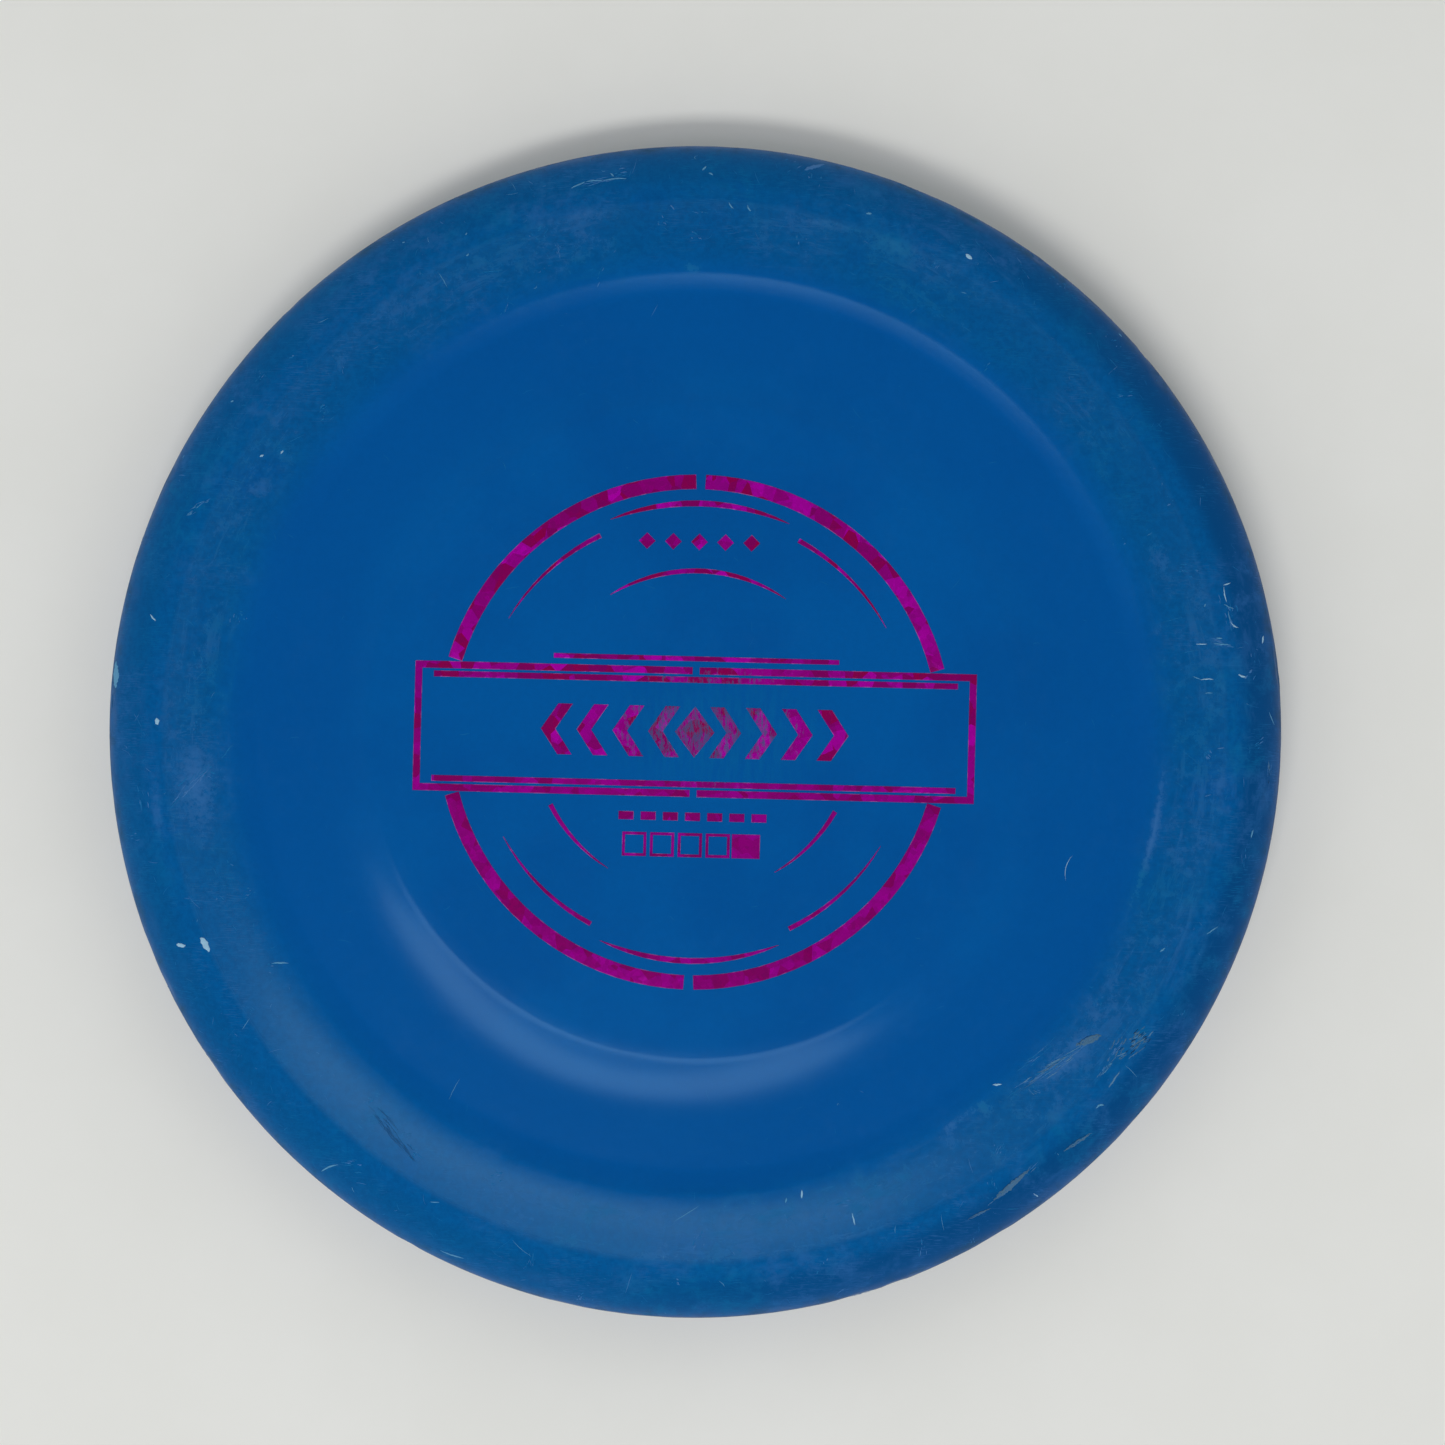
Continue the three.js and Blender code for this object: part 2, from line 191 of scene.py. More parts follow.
class Outline:
    """The body's outline as a path, with softened corners. s is the distance along it."""

    def __init__(self):
        stretches = outline_stretches()
        points = np.vstack([stretches[0][0][:1], *[p[1:] for p, _ in stretches]])
        along = np.concatenate([[0], np.cumsum(np.hypot(*np.diff(points, axis=0).T))])
        self.s = np.arange(0, along[-1], FINE_STEP)
        self.r = self.soften(np.interp(self.s, along, points[:, 0]), mirror=-1)
        self.z = self.soften(np.interp(self.s, along, points[:, 1]), mirror=1)
        dr, dz = np.gradient(self.r), np.gradient(self.z)
        size = np.hypot(dr, dz)
        self.normal_r, self.normal_z = -dz / size, dr / size
        self.row_s = self.rows(stretches)
        self.nose_s = self.s[np.argmax(self.r)]

    def soften(self, values, mirror):
        """Rounds corners with a bell-shaped average, cut off at four times its spread.

        mirror is -1 for r, which changes sign at the axis, and 1 for z.
        """
        reach = round(4 * EDGE_SOFTNESS / FINE_STEP)
        bell = np.exp(-0.5 * (np.arange(-reach, reach + 1) * FINE_STEP / EDGE_SOFTNESS) ** 2)
        ends = mirror * values[1:reach + 1][::-1], mirror * values[-reach - 1:-1][::-1]
        return np.convolve(np.concatenate([ends[0], values, ends[1]]), bell / bell.sum(), "valid")

    def rows(self, stretches):
        """Where the mesh has its rows: each stretch has its widest spacing, and bends draw rows closer."""
        ends = np.cumsum([np.hypot(*np.diff(points, axis=0).T).sum() for points, _ in stretches])
        stretch = np.minimum(np.searchsorted(ends, self.s), len(stretches) - 1)
        widest = np.array([spacing for _, spacing in stretches])[stretch]
        heading = np.unwrap(np.arctan2(self.normal_r, self.normal_z))
        bend = np.abs(np.gradient(heading, self.s))
        spread = np.ones(round(2 * BEND_REACH / FINE_STEP) + 1)
        density = np.convolve(1 / widest + bend / BEND_PER_ROW, spread / spread.sum(), "same")
        count = np.cumsum(density) * FINE_STEP
        rows = round(count[-1])
        return np.interp(np.arange(1, rows) * count[-1] / rows, count, self.s)

    def at(self, s):
        """Radius, height and outward normal at a distance along the outline."""
        return tuple(np.interp(s, self.s, v) for v in (self.r, self.z, self.normal_r, self.normal_z))

    def s_on_top(self, r):
        """Distance along the outline to a radius on the upper side."""
        upper = self.s <= self.nose_s
        return float(np.interp(r, self.r[upper], self.s[upper]))


outline = Outline()


# ---------------------------------------------------------------- meshes of the body and its marks

def link_piece(mesh, materials):
    """Puts a mesh into the scene as an object of the same name."""
    for material in materials:
        mesh.materials.append(material)
    piece = bpy.data.objects.new(mesh.name, mesh)
    bpy.context.scene.collection.objects.link(piece)
    return piece


def new_mesh(name, verts, faces, material):
    """A smooth-shaded mesh object from vertices in millimetres."""
    mesh = bpy.data.meshes.new(name)
    mesh.from_pydata((np.asarray(verts) * MM).tolist(), [], faces)
    mesh.shade_smooth()
    return link_piece(mesh, [material])


def add_to_model(piece, slot, *nodes):
    """Ties a finished piece to the frame."""
    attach(piece, "root")
    if nodes:
        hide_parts(*nodes)


def smoothstep(low, high, x):
    """0 below low, 1 above high and smooth between."""
    t = np.clip((x - low) / (high - low), 0, 1)
    return t * t * (3 - 2 * t)


def turn_from(centre, theta):
    """The angle from one direction to others, the short way round, in radians."""
    return np.mod(theta - centre + math.pi, math.tau) - math.pi


def waviness(s, theta, r):
    """Slow unevenness of the moulding, which makes its reflections waver."""
    waves = random.Random(SEED + 1)
    total = np.zeros(np.broadcast(s, theta).shape)
    for _ in range(WAVES):
        turns, wavelength = waves.randint(*WAVE_TURNS), waves.uniform(*WAVE_LENGTHS)
        phase, height = waves.uniform(0, math.tau), waves.uniform(*WAVE_HEIGHTS)
        total += height * np.cos(turns * theta + math.tau * s / wavelength + phase)
    return total * smoothstep(WAVY_FROM_R, WAVY_FULL_R, r)


def dents():
    """Random knocks round the shoulder, nose and heel: place, half sizes and depth."""
    knocks = random.Random(SEED + 2)
    for _ in range(DENTS):
        s = outline.nose_s + knocks.gauss(DENT_OFF_NOSE, DENT_SPREAD)
        depth = DENT_LEAST_DEPTH + DENT_EXTRA_DEPTH * knocks.random() ** 3
        theta = knocks.uniform(0, math.tau)
        yield s, theta, knocks.uniform(*DENT_HALF_LENGTHS), knocks.uniform(*DENT_HALF_WIDTHS), depth


def turn_of_mark(heading, angle):
    """How far a heading on the floor plan is turned from the direction round the disc, in radians."""
    return math.radians(heading) - math.radians(angle) - math.pi / 2


def scuff_strength(s, theta, r):
    """How cloudy with scuffs each place is, from the soft ovals listed in SCUFFS."""
    total = np.zeros(np.broadcast(s, theta).shape)
    for centre_r, angle, length, width, heading, strength in SCUFFS:
        turn = turn_of_mark(heading, angle)
        u = turn_from(math.radians(angle), theta) * r
        v = s - outline.s_on_top(centre_r)
        along = u * math.cos(turn) - v * math.sin(turn)
        across = u * math.sin(turn) + v * math.cos(turn)
        total += strength * np.exp(-(2 * along / length) ** 2 - (2 * across / width) ** 2)
    return total


def add_values(piece, name, values):
    """Stores a number for each vertex under a name that the material reads: values, and 0 at the poles."""
    attribute = piece.data.attributes.new(name, "FLOAT", "POINT")
    shares = np.append(np.clip(values, 0, 1).ravel(), [0, 0])
    attribute.data.foreach_set("value", shares.astype(np.float32))


def uneven_skin(s, theta, r):
    """How far the skin stands off the outline, and how strongly each place is knocked."""
    shift = waviness(s, theta, r)
    knocked = np.zeros_like(shift)
    for dent_s, dent_theta, half_u, half_s, depth in dents():
        away = np.hypot(turn_from(dent_theta, theta) * r / half_u, (s - dent_s) / half_s)
        hollow = np.exp(-away ** 2)
        lip = np.exp(-((away - LIP_PLACE) / LIP_WIDTH) ** 2)
        shift += depth * (LIP_SHARE * lip - hollow)
        knocked += np.minimum(depth / DENT_WORN_DEPTH, 1) * hollow
    return shift, knocked


def turned_faces(rows):
    """Faces of a closed surface of rings, whose two poles are the last two vertices."""
    turn = np.arange(SEGMENTS)
    after = np.roll(turn, -1)
    pairs = list(zip(turn.tolist(), after.tolist()))
    top_pole, bottom_pole = rows * SEGMENTS, rows * SEGMENTS + 1
    faces = [(top_pole, a, b) for a, b in pairs]
    for row in range(rows - 1):
        here, there = row * SEGMENTS, (row + 1) * SEGMENTS
        faces += np.column_stack([here + turn, there + turn, there + after, here + after]).tolist()
    last = (rows - 1) * SEGMENTS
    return faces + [(bottom_pole, last + b, last + a) for a, b in pairs]


def body_piece(material):
    """The moulded body: the outline turned about the axis, with uneven skin and knocked edges."""
    s = outline.row_s[:, None]
    theta = np.linspace(0, math.tau, SEGMENTS, endpoint=False)[None, :]
    r, z, normal_r, normal_z = outline.at(s)
    shift, knocked = uneven_skin(s, theta, r)
    ring_r, ring_z = r + shift * normal_r, z + shift * normal_z
    rings = np.stack([ring_r * np.cos(theta), ring_r * np.sin(theta), ring_z], axis=-1)
    poles = [0, 0, outline.z[0]], [0, 0, outline.z[-1]]
    verts = np.vstack([rings.reshape(-1, 3), *poles])
    piece = new_mesh("moulded_body", verts, turned_faces(len(outline.row_s)), material)
    add_values(piece, "knocked", knocked)
    add_values(piece, "scuffed", scuff_strength(s, theta, r))
    return piece


# Where a mark has points across it, as shares of its half width. A wide one has more, so that it
# follows the curve of the nose.
NARROW_SIDES, WIDE_SIDES, WIDE_MARK = (-1, 0, 1), (-1, -0.7, 0, 0.7, 1), 0.7
MARK_STEP, MARK_STEPS_LEAST = 0.35, 4
MARK_HEIGHT, MARK_EDGE_HEIGHT = 0.035, -0.02
MARK_TAPER, MARK_END, MARK_WANDER = 0.6, 0.02, 0.4
CLUSTER_ALONG, CLUSTER_ACROSS, CLUSTER_TURN = 0.28, 0.3, 5
CLUSTER_LENGTHS, CLUSTER_WIDTHS, CLUSTER_LEAST_WIDTH = (0.1, 0.4), (0.05, 0.18), 0.05


class MarkSheet:
    """Collects chips, scratches and scrapes, each a thin closed sliver that lies along the surface."""

    def __init__(self):
        self.verts, self.faces, self.colours = [], [], []

    def point(self, s, angle, u, v, height):
        """The point u along the circle and v along the outline from a place, at a height off the skin."""
        r, z, normal_r, normal_z = outline.at(s + v)
        theta = math.radians(angle) + u / max(float(r), 1.0)
        lift = height + waviness(s + v, theta, r)
        reach = r + lift * normal_r
        return (reach * math.cos(theta), reach * math.sin(theta), z + lift * normal_z)

    def step(self, along, across, turn):
        """A step along and across a mark, as lengths along the circle and along the outline."""
        u = along * math.cos(turn) - across * math.sin(turn)
        v = -(along * math.sin(turn) + across * math.cos(turn))
        return u, v

    def sliver(self, s, angle, length, width, heading, colour, bend=0.0, rough=0.25,
               height=MARK_HEIGHT):
        """One mark. heading is its direction on the floor plan, and bend curves it to one side."""
        turn = turn_of_mark(heading, angle)
        steps = max(MARK_STEPS_LEAST, round(length / MARK_STEP))
        sides = WIDE_SIDES if width > WIDE_MARK else NARROW_SIDES
        first = len(self.verts)
        for i in range(steps + 1):
            t = i / steps
            taper = math.sin(math.pi * min(max(t, MARK_END), 1 - MARK_END)) ** MARK_TAPER
            arch = 4 * t * (1 - t)
            middle = bend * arch + rng.uniform(-rough, rough) * width * MARK_WANDER
            unevenness = [rng.uniform(1 - rough, 1 + rough) for _ in range(3)]
            for side in sides:
                across = middle + side * 0.5 * width * taper * np.interp(side, (-1, 0, 1), unevenness)
                u, v = self.step((t - 0.5) * length, across, turn)
                off_skin = height if abs(side) < 1 else MARK_EDGE_HEIGHT
                self.verts.append(self.point(s, angle, u, v, off_skin))
                self.colours.append((*colour, 1.0))
        self.add_faces(first, steps, len(sides))

    def add_faces(self, first, steps, count):
        """Closes a mark whose vertices start at first, with count of them at each of its steps."""
        for i in range(steps):
            here, there = first + count * i, first + count * (i + 1)
            self.faces += [(here + j, there + j, there + j + 1, here + j + 1) for j in range(count - 1)]
            self.faces.append((here + count - 1, there + count - 1, there, here))
        last = first + count * steps
        self.faces.append(tuple(range(first, first + count)))
        self.faces.append(tuple(reversed(range(last, last + count))))

    def cluster(self, s, angle, length, width, heading, colours, count):
        """A torn scrape: fine slivers side by side and end to end within an oval."""
        turn = turn_of_mark(heading, angle)
        for _ in range(count):
            along, across = rng.gauss(0, CLUSTER_ALONG) * length, rng.gauss(0, CLUSTER_ACROSS) * width
            u, v = self.step(along, across, turn)
            here_r = float(outline.at(s + v)[0])
            self.sliver(s + v, angle + math.degrees(u / here_r), rng.uniform(*CLUSTER_LENGTHS) * length,
                        CLUSTER_LEAST_WIDTH + rng.uniform(*CLUSTER_WIDTHS) * width,
                        heading + rng.gauss(0, CLUSTER_TURN), rng.choice(colours), rough=0.5, height=0.02)

    def gouge(self, s, angle, length, width, heading):
        """A torn scar: dusty inside, crossed by pale strips, with a dark upper edge that is painted shade.
        """
        for share in (-0.2, 0.2):
            self.sliver(s, angle, 0.9 * length, 0.7 * width, heading, DUST, bend=share * width,
                        rough=0.6, height=0.012)
        pale = (GREY_CHIP, GREY_CHIP, LAVENDER)
        self.cluster(s, angle, 0.6 * length, 0.5 * width, heading, pale, 16)
        # A dark sliver along the upper edge: painted shade.
        self.sliver(s, angle, 0.85 * length, 0.14 * width, heading, SOIL_AND_SHADE, bend=0.55 * width,
                    rough=0.6, height=0.035)

    def piece(self, material):
        """All the marks as one object, with each mark's colour kept at its vertices."""
        made = new_mesh("wear_marks", self.verts, self.faces, material)
        attribute = made.data.color_attributes.new("mark_colour", "FLOAT_COLOR", "POINT")
        attribute.data.foreach_set("color", np.array(self.colours, np.float32).ravel())
        return made


# Colours are linear red, green and blue.
WHITE_CHIP = (0.36, 0.60, 0.76)
PALE_CHIP = (0.11, 0.33, 0.52)
FAINT = (0.004, 0.150, 0.38)
LAVENDER = (0.055, 0.190, 0.44)
GREY_CHIP = (0.11, 0.25, 0.39)
DUST = (0.075, 0.165, 0.245)
# The next colour is grime in some scrapes, and painted shade along the upper edge of the torn scars.
SOIL_AND_SHADE = (0.004, 0.026, 0.060)
SMUDGE = (0.012, 0.078, 0.200)
STRAY_COLOURS = [FAINT] * 12 + [LAVENDER] * 3 + [PALE_CHIP]

# Single marks: r, angle, length, width, heading, colour, bend.
SINGLE_MARKS = [
    # Right: a hooked squiggle with dashes and chips around it.
    (97.9, 17.0, 1.5, 0.32, 21, WHITE_CHIP, 0.0),
    (97.1, 16.0, 2.8, 0.32, 101, WHITE_CHIP, 0.15),
    (97.2, 14.7, 2.1, 0.26, 159, PALE_CHIP, 0.1),
    (96.9, 13.6, 2.2, 0.24, 104, PALE_CHIP, 0.1),
    (97.5, 12.7, 1.8, 0.36, 150, WHITE_CHIP, 0.25),
    (92.9, 15.4, 0.6, 0.3, 65, PALE_CHIP, 0.0),
    (86.6, 14.7, 4.4, 0.18, 16, FAINT, 0.0),
    (90.8, 11.3, 2.0, 0.26, 2, WHITE_CHIP, 0.0),
    (94.6, 10.9, 3.3, 0.35, 178, PALE_CHIP, 0.0),
    (94.2, 11.6, 1.2, 0.35, 178, PALE_CHIP, 0.0),
    (88.5, 10.7, 3.5, 0.2, 13, FAINT, 0.0),
    (90.9, 7.3, 2.4, 0.3, 4, WHITE_CHIP, 0.1),
    (89.1, 7.6, 1.5, 0.24, 163, PALE_CHIP, 0.0),
    (97.5, 7.3, 1.6, 0.5, 170, WHITE_CHIP, 0.0),
    (102.6, 10.7, 1.5, 0.6, 79, WHITE_CHIP, 0.0),
    (91.0, 5.8, 1.5, 0.22, 4, PALE_CHIP, 0.0),
    (103.0, 2.8, 2.7, 0.28, 125, PALE_CHIP, 0.1),
    (93.0, 359.7, 1.4, 0.3, 6, LAVENDER, 0.0),
    (91.3, 354.4, 1.3, 0.26, 17, LAVENDER, 0.0),
    (100.7, 351.1, 1.5, 0.5, 77, PALE_CHIP, 0.0),
    (98.3, 340.5, 2.6, 0.3, 32, PALE_CHIP, 0.0),
    (91.1, 336.5, 1.2, 0.4, 42, PALE_CHIP, 0.0),
    (70.4, 341.5, 4.6, 0.16, 77, WHITE_CHIP, 0.6),
    # Top: a faint zigzag, dots and two chips.
    (99.3, 103.5, 2.8, 0.4, 28, PALE_CHIP, 0.0),
    (99.4, 101.8, 3.0, 0.35, 4, PALE_CHIP, 0.15),
    (99.1, 99.7, 4.1, 0.4, 6, PALE_CHIP, 0.2),
    (100.1, 99.9, 1.0, 0.4, 135, PALE_CHIP, 0.0),
    (92.8, 93.9, 1.2, 0.4, 129, LAVENDER, 0.0),
    (88.9, 115.3, 4.2, 0.3, 6, FAINT, 0.0),
    (97.1, 116.1, 0.5, 0.4, 60, PALE_CHIP, 0.0),
    (93.4, 116.9, 0.6, 0.4, 57, PALE_CHIP, 0.0),
    (101.4, 122.2, 0.5, 0.4, 10, PALE_CHIP, 0.0),
    (103.2, 79.5, 4.4, 1.0, 32, LAVENDER, 0.0),
    (100.2, 90.5, 1.2, 0.5, 60, PALE_CHIP, 0.0),
    (99.1, 89.8, 0.9, 0.5, 150, PALE_CHIP, 0.0),
    (93.3, 87.5, 1.4, 0.4, 128, PALE_CHIP, 0.15),
    (93.1, 85.5, 1.3, 0.4, 120, PALE_CHIP, 0.15),
    (96.9, 72.9, 1.0, 0.6, 4, PALE_CHIP, 0.0),
    (97.2, 61.5, 1.4, 0.8, 141, WHITE_CHIP, 0.0),
    (104.1, 44.5, 0.9, 0.5, 131, PALE_CHIP, 0.0),
    # Left: white chips, and fine lines above them.
    (101.2, 145.9, 0.6, 0.5, 22, PALE_CHIP, 0.0),
    (90.7, 148.9, 0.7, 0.6, 33, WHITE_CHIP, 0.0),
    (88.0, 147.3, 0.7, 0.5, 63, WHITE_CHIP, 0.0),
    (103.9, 153.2, 0.8, 0.4, 81, PALE_CHIP, 0.0),
    (92.9, 152.8, 4.3, 0.16, 165, FAINT, 0.1),
    (87.4, 145.2, 3.8, 0.18, 28, FAINT, 0.0),
    (98.2, 169.5, 1.6, 0.5, 138, WHITE_CHIP, 0.1),
    (104.3, 175.8, 4.8, 2.6, 97, PALE_CHIP, 0.0),
    (95.1, 180.3, 1.2, 0.9, 107, WHITE_CHIP, 0.0),
    (87.6, 174.7, 6.4, 0.16, 47, FAINT, 0.0),
    (94.4, 204.9, 2.9, 1.5, 124, WHITE_CHIP, 0.0),
    (98.7, 204.0, 1.8, 0.9, 0, WHITE_CHIP, 0.0),
    (83.7, 210.6, 3.0, 0.45, 3, PALE_CHIP, 0.1),
    (101.3, 231.5, 4.2, 0.45, 30, PALE_CHIP, 0.3),
    (76.0, 237.5, 4.2, 0.14, 64, PALE_CHIP, 0.1),
    (95.0, 242.5, 1.7, 0.3, 2, PALE_CHIP, 0.0),
    (102.8, 246.5, 4.4, 0.5, 167, PALE_CHIP, 0.2),
    # Bottom and lower right, among the scrapes.
    (84.9, 270.5, 5.6, 0.16, 34, PALE_CHIP, 0.0),
    (84.1, 282.5, 1.0, 0.4, 82, PALE_CHIP, 0.0),
    (83.6, 284.5, 1.5, 0.5, 90, WHITE_CHIP, 0.0),
    (90.4, 289.5, 2.3, 0.35, 106, WHITE_CHIP, 0.0),
    (102.5, 307.8, 1.4, 0.5, 142, WHITE_CHIP, 0.0),
    (81.9, 312.1, 1.6, 0.5, 6, WHITE_CHIP, 0.0),
    (97.8, 318.7, 1.6, 0.6, 24, PALE_CHIP, 0.3),
    (96.4, 321.8, 3.4, 0.5, 58, GREY_CHIP, 0.0),
]

# Scrapes: r, angle, length, width, heading, colours, number of slivers.
SCRAPES = [
    (86.5, 318.3, 10.0, 1.5, 35, (GREY_CHIP, DUST, LAVENDER, FAINT), 56),
    (86.9, 314.7, 2.6, 0.8, 158, (LAVENDER, GREY_CHIP), 9),
    (83.1, 317.8, 8.8, 1.2, 41, (FAINT, LAVENDER), 18),
    (95.6, 326.4, 4.8, 2.4, 39, (DUST, DUST, GREY_CHIP, SOIL_AND_SHADE), 56),
    (93.2, 324.6, 4.0, 1.8, 60, (DUST, LAVENDER), 22),
    (94.0, 321.9, 4.2, 0.7, 50, (PALE_CHIP, GREY_CHIP), 16),
    (98.2, 306.4, 7.0, 0.9, 43, (GREY_CHIP, LAVENDER), 14),
    (91.2, 307.4, 3.0, 1.6, 60, (FAINT, LAVENDER), 12),
    (102.6, 357.5, 4.0, 1.0, 86, (GREY_CHIP, LAVENDER, SOIL_AND_SHADE), 18),
    (97.1, 14.0, 5.0, 2.0, 105, (LAVENDER, FAINT), 18),
    (96.7, 157.2, 4.4, 1.0, 33, (PALE_CHIP, LAVENDER), 16),
    (88.5, 187.0, 9.0, 2.0, 48, (LAVENDER, FAINT), 20),
    (99.2, 101.0, 7.0, 1.2, 10, (LAVENDER, FAINT), 16),
    (94.5, 11.0, 4.0, 1.4, 175, (LAVENDER, FAINT), 14),
    (88.6, 107.2, 3.0, 0.9, 116, (LAVENDER, FAINT), 12),
    (88.9, 235.3, 12.0, 1.7, 131, (SMUDGE,), 34),
]

# Torn scars, dusty inside and painted dark along one edge as shade: r, angle, length, width, heading.
GOUGES = [
    (88.2, 323.4, 5.4, 1.2, 24),
    (99.6, 314.5, 6.6, 0.9, 32),
    (98.0, 306.4, 9.2, 1.1, 43),
    (99.3, 302.0, 5.0, 0.6, 27),
]

# Cloudy scuffs: r, angle, length, width, heading, strength.
SCUFFS = [
    (93.6, 103.4, 11, 4, 15, 0.6), (93.0, 69.0, 12, 6, 160, 0.7), (92.8, 76.9, 11, 1.8, 172, 0.8),
    (82.0, 91.8, 3, 2, 0, 0.7), (99.3, 86.3, 6, 2, 100, 0.4), (89.1, 110.5, 3, 2, 90, 0.4),
    (94.6, 11.0, 3.5, 3, 0, 0.6), (93.6, 6.7, 6, 3, 90, 0.6), (92.3, 16.1, 10, 6, 90, 0.4),
    (87.5, 21.8, 12, 4, 110, 0.5), (96.3, 36.5, 8, 5, 120, 0.35), (98.8, 47.7, 6, 4, 130, 0.4),
    (87.0, 322.0, 14, 5, 35, 0.55), (86.3, 326.3, 3, 3, 0, 0.6), (95.5, 326.5, 7, 4, 40, 0.7),
    (84.0, 309.1, 3, 3, 50, 0.7), (87.9, 318.7, 12, 3, 30, 0.6), (83.4, 304.2, 3, 2.5, 60, 0.6),
    # The first two ovals on the next line lie where the shoulder's highlight band begins on the left, and
    # their paler colour is partly a painted highlight.
    (88.6, 187.5, 17, 8, 95, 0.75), (96.2, 189.5, 15, 2.2, 97, 0.7), (101.6, 163.9, 8, 3, 75, 0.4),
    (90.8, 135.1, 10, 4, 50, 0.35), (82.9, 348.5, 26, 1.7, 78, 0.9), (82.6, 307.0, 9, 1.5, 40, 0.5),
]


def add_placed_marks(sheet):
    """The marks listed above."""
    for r, angle, length, width, heading, colour, bend in SINGLE_MARKS:
        sheet.sliver(outline.s_on_top(r), angle, length, width, heading, colour, bend)
    for r, angle, length, width, heading, colours, count in SCRAPES:
        sheet.cluster(outline.s_on_top(r), angle, length, width, heading, colours, count)
    for r, angle, length, width, heading in GOUGES:
        sheet.gouge(outline.s_on_top(r), angle, length, width, heading)


def add_stray_marks(sheet):
    """Many small faint marks: single ones and groups over the rim, and a few on the plate."""
    for _ in range(STRAY_MARKS):
        s = outline.nose_s - abs(rng.gauss(0, STRAY_SPREAD)) + STRAY_BELOW_NOSE
        length = FAINT_LENGTH + rng.expovariate(STRAY_LENGTH_RATE)
        colour = rng.choice(STRAY_COLOURS)
        sheet.sliver(s, rng.uniform(0, 360), min(length, STRAY_LONGEST), rng.uniform(*STRAY_WIDTHS),
                     rng.uniform(0, 360), colour, bend=rng.gauss(0, STRAY_BEND), height=FAINT_HEIGHT)
    for _ in range(GROUPS):
        s = outline.nose_s - rng.uniform(*GROUP_PLACES)
        sheet.cluster(s, rng.uniform(0, 360), rng.uniform(*GROUP_LENGTHS), rng.uniform(*GROUP_WIDTHS),
                      rng.uniform(0, 180), (FAINT, FAINT, LAVENDER), rng.randint(*GROUP_SIZES))
    for _ in range(PLATE_MARKS):
        s = outline.s_on_top(PLATE_MARKS_R * math.sqrt(rng.uniform(PLATE_MARKS_LEAST_AREA, 1)))
        sheet.sliver(s, rng.uniform(0, 360), FAINT_LENGTH + rng.expovariate(PLATE_LENGTH_RATE),
                     rng.uniform(*PLATE_WIDTHS), rng.uniform(0, 360), FAINT,
                     bend=rng.gauss(0, PLATE_BEND), height=FAINT_HEIGHT)


def wear_piece(material):
    """All marks of use in one mesh."""
    sheet = MarkSheet()
    add_placed_marks(sheet)
    add_stray_marks(sheet)
    return sheet.piece(material)


# ---------------------------------------------------------------- foil

def foil_piece(node, materials):
    """One foil patch: the CAD node's plan, sunk into the plate, with soft edges in the second material."""
    bm = bmesh.new()
    bm.from_mesh(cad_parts[node].data)
    bmesh.ops.remove_doubles(bm, verts=bm.verts, dist=WELD_DISTANCE * MM)
    upper = set()
    for vertex in bm.verts:
        surface = float(top_height(np.array(math.hypot(vertex.co.x, vertex.co.y) / MM)))
        if vertex.co.z / MM - surface > FOIL_NODE_MIDDLE:
            upper.add(vertex)
        vertex.co.z = (surface + (FOIL_TOP if vertex in upper else FOIL_BOTTOM)) * MM
    bm.normal_update()
    rim = [e for e in bm.edges if set(e.verts) <= upper and e.calc_face_angle(0) > SHARP_CORNER]
    bmesh.ops.bevel(bm, geom=rim, offset=FOIL_EDGE * MM, segments=3, profile=0.5, affect="EDGES",
                    clamp_overlap=True, material=1)
    mesh = bpy.data.meshes.new(node.replace("foil_", "stamped_"))
    bm.to_mesh(mesh)
    bm.free()
    return link_piece(mesh, materials)


# ---------------------------------------------------------------- materials

